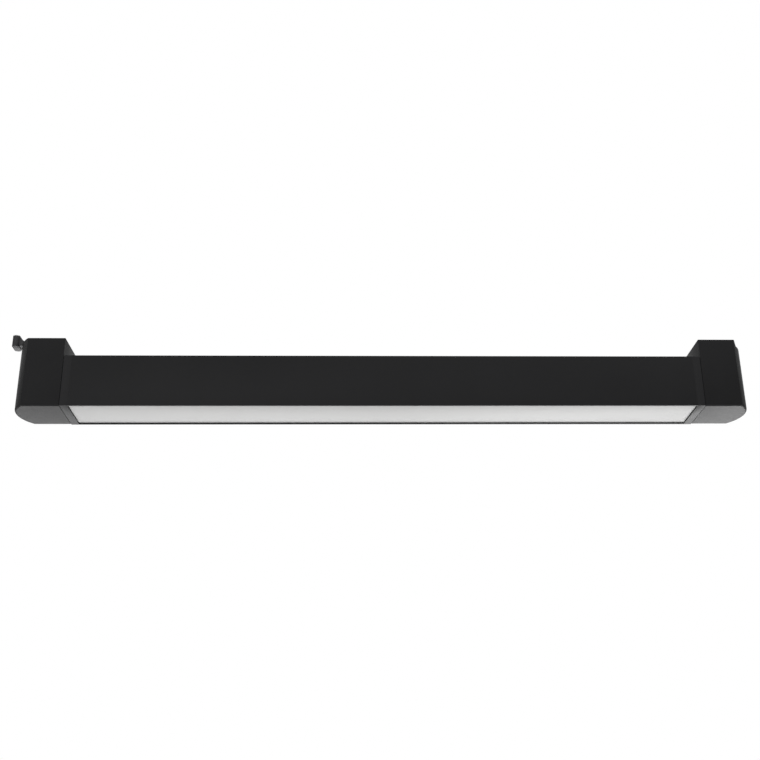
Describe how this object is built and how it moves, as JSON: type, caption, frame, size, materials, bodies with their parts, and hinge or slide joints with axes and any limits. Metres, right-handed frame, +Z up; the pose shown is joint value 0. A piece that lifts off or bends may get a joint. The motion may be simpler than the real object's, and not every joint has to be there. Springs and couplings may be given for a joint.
{
  "type": "linear track light",
  "caption": "Slim black linear light bar with an opal diffuser, tilting between two taller end blocks that clip into a ceiling track.",
  "frame": {"origin": "midway between the two end blocks, at mid-depth, in the plane of their top faces, where they meet the track", "axes": "+X along the bar towards the plain end, +Y from front to back, +Z up towards the track"},
  "size_m": [0.6158, 0.0448, 0.0697],
  "materials": {
    "black_casting": "matte black powder coat",
    "black_extrusion": "matte black powder coat on aluminium",
    "black_nylon": "fine moulded texture",
    "opal_acrylic": "satin opal",
    "zinc_steel": "zinc plated",
    "stud_steel": "turned",
    "contact_brass": "bright stamped",
    "natural_nylon": "natural moulded",
    "friction_fibre": "pressed fibre",
    "white_solder_mask": "white solder mask",
    "led_phosphor": "yellow phosphor",
    "driver_white": "moulded white",
    "green_board": "solder mask",
    "wound_core": "taped winding",
    "capacitor_sleeve": "printed sleeve",
    "lead_insulation": "extruded insulation"
  },
  "bodies": {
    "end_blocks": {"left_housing": "black_casting", "right_housing": "black_casting", "left_top_plate": "black_casting", "right_top_plate": "black_casting", "plate_screws": "zinc_steel", "live_adapter_base": "black_nylon", "live_adapter_cover": "black_nylon", "dead_adapter_base": "black_nylon", "dead_adapter_cover": "black_nylon", "adapter_screws": "zinc_steel", "catch_spring": "zinc_steel", "left_bushing": "natural_nylon", "right_bushing": "natural_nylon", "left_friction_washer": "friction_fibre", "right_friction_washer": "friction_fibre", "stop_pins": "zinc_steel", "terminal_block": "natural_nylon", "supply_leads": "lead_insulation", "drop_leads": "lead_insulation", "lead_socket": "natural_nylon"},
    "light_bar": {"bar_extrusion": "black_extrusion", "left_end_cap": "black_casting", "right_end_cap": "black_casting", "end_cap_screws": "zinc_steel", "diffuser": "opal_acrylic", "led_board": "white_solder_mask", "led_emitters": "led_phosphor", "board_screws": "zinc_steel", "driver_tray": "driver_white", "driver_lid": "driver_white", "driver_board": "green_board", "transformer": "wound_core", "capacitors": "capacitor_sleeve", "bar_leads": "lead_insulation", "lead_plug": "natural_nylon", "board_leads": "lead_insulation", "left_pivot_stud": "stud_steel", "right_pivot_stud": "stud_steel", "left_wave_washer": "zinc_steel", "right_wave_washer": "zinc_steel", "stop_washer": "zinc_steel", "left_lock_nut": "zinc_steel", "right_lock_nut": "zinc_steel"},
    "latch": {"latch_slide": "black_nylon"},
    "front_lock": {"front_lug": "zinc_steel", "front_contact": "contact_brass"},
    "back_lock": {"back_lug": "zinc_steel", "back_contact": "contact_brass"},
    "front_snap": {"front_catch": "natural_nylon"},
    "back_snap": {"back_catch": "natural_nylon"}
  },
  "joints": [
    {"name": "bar_tilt", "type": "hinge", "parent": "end_blocks", "child": "light_bar", "pos_m": [0, 0, -0.0375], "axis": [1, 0, 0], "range_deg": [-90, 90]},
    {"name": "latch_slide_in", "type": "slide", "parent": "end_blocks", "child": "latch", "axis": [1, 0, 0], "range_m": [0, 0.005]},
    {"name": "front_lock_out", "type": "slide", "parent": "end_blocks", "child": "front_lock", "axis": [0, -1, 0], "range_m": [0, 0.002]},
    {"name": "back_lock_out", "type": "slide", "parent": "end_blocks", "child": "back_lock", "axis": [0, 1, 0], "range_m": [0, 0.002]},
    {"name": "front_snap_in", "type": "slide", "parent": "end_blocks", "child": "front_snap", "axis": [0, 1, 0], "range_m": [0, 0.0018], "stiffness_N_per_m": 600, "springref_m": -0.001, "deforming": ["catch_spring"]},
    {"name": "back_snap_in", "type": "slide", "parent": "end_blocks", "child": "back_snap", "axis": [0, -1, 0], "range_m": [0, 0.0018], "stiffness_N_per_m": 600, "springref_m": -0.001, "deforming": ["catch_spring"]}
  ],
  "couplings": [
    {"joint": "front_lock_out", "follows": "latch_slide_in", "ratio": 0.4},
    {"joint": "back_lock_out", "follows": "latch_slide_in", "ratio": 0.4}
  ]
}
